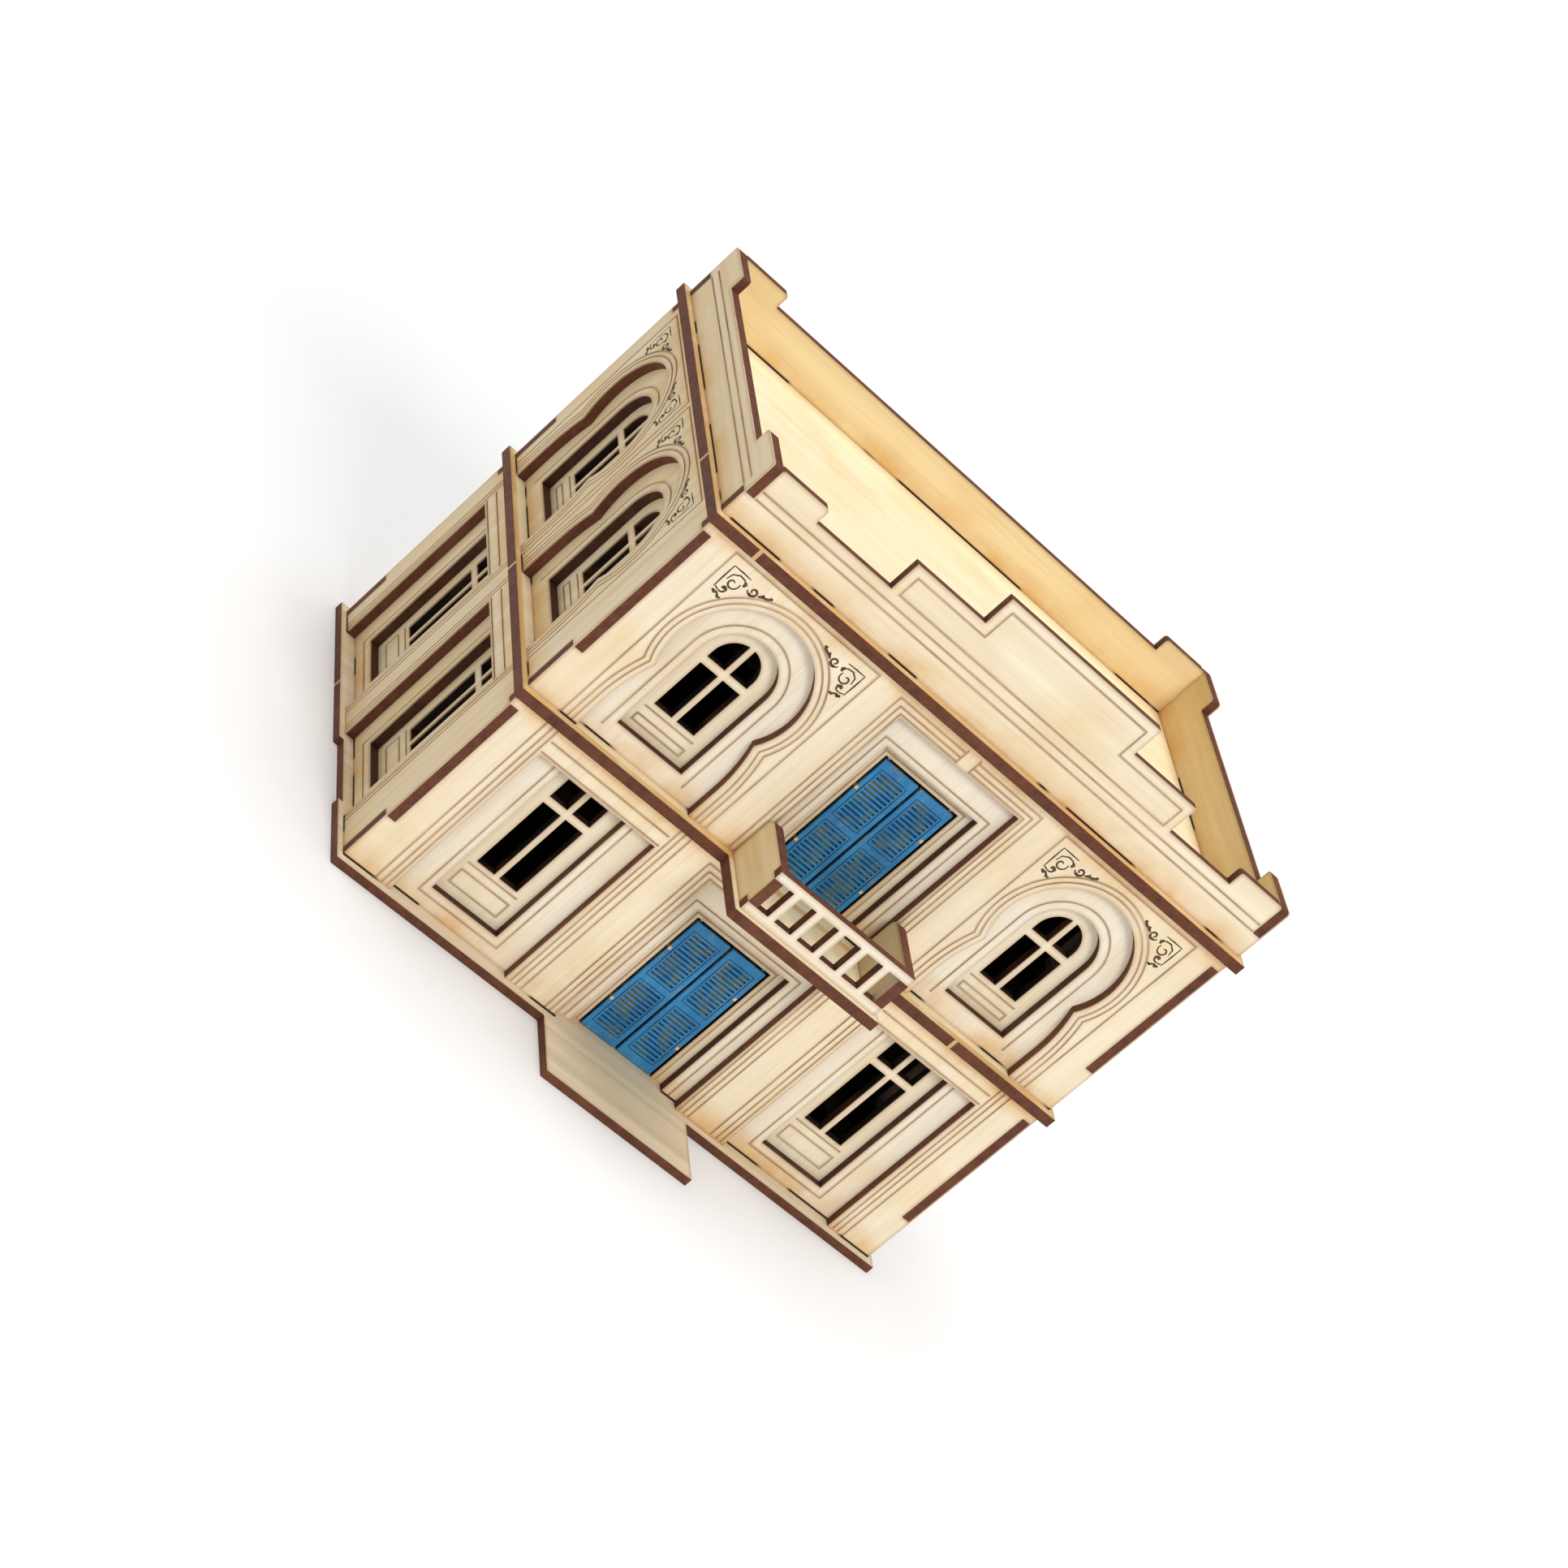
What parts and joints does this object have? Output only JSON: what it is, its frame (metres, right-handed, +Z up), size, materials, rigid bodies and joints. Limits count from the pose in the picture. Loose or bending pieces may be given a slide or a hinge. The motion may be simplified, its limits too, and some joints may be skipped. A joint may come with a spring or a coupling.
{
  "type": "dollhouse",
  "caption": "Two-storey laser-cut plywood dollhouse with lift-off upper floor and roof, louvred double doors, balcony and stepped parapet.",
  "frame": {"origin": "middle of the bounding box at its lowest face", "axes": "+X to the right along the facade seen from outside, -Y out of the facade, +Z up"},
  "size_m": [0.19, 0.1484, 0.1634],
  "materials": {
    "plywood": "bare plywood with burnt laser-cut edges",
    "base_ply": "bare thin plywood",
    "blue_leaf": "matt blue paint",
    "steel_wire": "plain wire"
  },
  "bodies": {
    "ground_storey": {"base_plate": "base_ply", "ground_front_outer": "plywood", "ground_front_middle": "plywood", "ground_front_inner": "plywood", "ground_back_outer": "plywood", "ground_back_middle": "plywood", "ground_back_inner": "plywood", "ground_left_outer": "plywood", "ground_left_middle": "plywood", "ground_left_inner": "plywood", "ground_right_outer": "plywood", "ground_right_middle": "plywood", "ground_right_inner": "plywood"},
    "upper_storey": {"mid_floor_slab": "plywood", "mid_floor_locator": "plywood", "upper_front_outer": "plywood", "upper_front_middle": "plywood", "upper_front_inner": "plywood", "upper_back_outer": "plywood", "upper_back_middle": "plywood", "upper_back_inner": "plywood", "upper_left_outer": "plywood", "upper_left_middle": "plywood", "upper_left_inner": "plywood", "upper_right_outer": "plywood", "upper_right_middle": "plywood", "upper_right_inner": "plywood", "balcony_balustrade": "plywood", "balcony_side_left": "plywood", "balcony_side_right": "plywood"},
    "roof": {"roof_slab": "plywood", "roof_locator": "plywood", "parapet_front": "plywood", "parapet_back": "plywood", "parapet_left": "plywood", "parapet_right": "plywood"},
    "ground_door_left": {"ground_door_leaf_left": "blue_leaf", "ground_door_pins_left": "steel_wire"},
    "ground_door_right": {"ground_door_leaf_right": "blue_leaf", "ground_door_pins_right": "steel_wire"},
    "upper_door_left": {"upper_door_leaf_left": "blue_leaf", "upper_door_pins_left": "steel_wire"},
    "upper_door_right": {"upper_door_leaf_right": "blue_leaf", "upper_door_pins_right": "steel_wire"}
  },
  "joints": [
    {"name": "upper_storey_lift", "type": "slide", "parent": "ground_storey", "child": "upper_storey", "axis": [0, 0, 1], "range_m": [0, 0.03]},
    {"name": "roof_lift", "type": "slide", "parent": "upper_storey", "child": "roof", "axis": [0, 0, 1], "range_m": [0, 0.03]},
    {"name": "ground_door_left_hinge", "type": "hinge", "parent": "ground_storey", "child": "ground_door_left", "pos_m": [-0.0111, -0.0405, 0.0224], "axis": [0, 0, -1], "range_deg": [0, 100]},
    {"name": "ground_door_right_hinge", "type": "hinge", "parent": "ground_storey", "child": "ground_door_right", "pos_m": [0.0111, -0.0405, 0.0224], "axis": [0, 0, 1], "range_deg": [0, 100]},
    {"name": "upper_door_left_hinge", "type": "hinge", "parent": "upper_storey", "child": "upper_door_left", "pos_m": [-0.0111, -0.0405, 0.0874], "axis": [0, 0, -1], "range_deg": [0, 100]},
    {"name": "upper_door_right_hinge", "type": "hinge", "parent": "upper_storey", "child": "upper_door_right", "pos_m": [0.0111, -0.0405, 0.0874], "axis": [0, 0, 1], "range_deg": [0, 100]}
  ]
}
